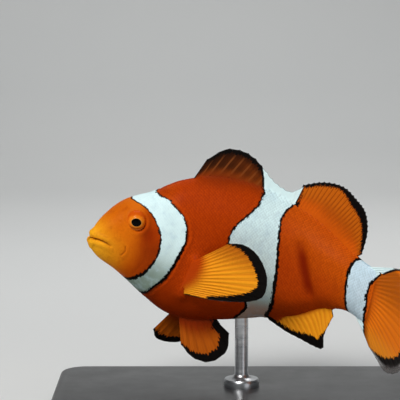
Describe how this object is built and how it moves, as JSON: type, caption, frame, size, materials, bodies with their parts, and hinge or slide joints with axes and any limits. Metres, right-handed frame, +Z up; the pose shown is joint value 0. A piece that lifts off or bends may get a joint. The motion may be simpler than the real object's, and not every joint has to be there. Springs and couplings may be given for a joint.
{
  "type": "clown anemonefish model on a display stand",
  "caption": "Life-size museum-style clown anemonefish in a curved swimming pose, held over a flat rectangular base by a short rod.",
  "frame": {"origin": "centre of the stand base's underside", "axes": "+X from the fish's head towards its tail along the base's long side, -Y the fish's left side, +Z up"},
  "size_m": [0.084, 0.0551, 0.0587],
  "materials": {
    "orange_skin": "satin cast resin painted as scaled orange skin with black-edged white bars",
    "white_skin": "satin cast resin painted as the white bar of the tail stem",
    "eye": "clear glossy domed model eye, black pupil in an orange iris",
    "fin": "thin rayed fins, amber orange with black margins",
    "stand_black": "satin black base",
    "stand_steel": "turned steel rod with a round foot"
  },
  "bodies": {
    "root": {"head": "orange_skin", "lower_jaw": "orange_skin", "gill_cover_left": "orange_skin", "gill_cover_right": "orange_skin", "eye_left": "eye", "eye_right": "eye", "trunk_front": "orange_skin", "trunk_rear": "orange_skin", "tail_stem": "white_skin", "dorsal_fin_spiny": "fin", "dorsal_fin_soft": "fin", "anal_fin": "fin", "caudal_fin": "fin", "pectoral_fin_left": "fin", "pectoral_fin_right": "fin", "pelvic_fin_left": "fin", "pelvic_fin_right": "fin", "stand_base": "stand_black", "stand_rod": "stand_steel"}
  },
  "joints": []
}
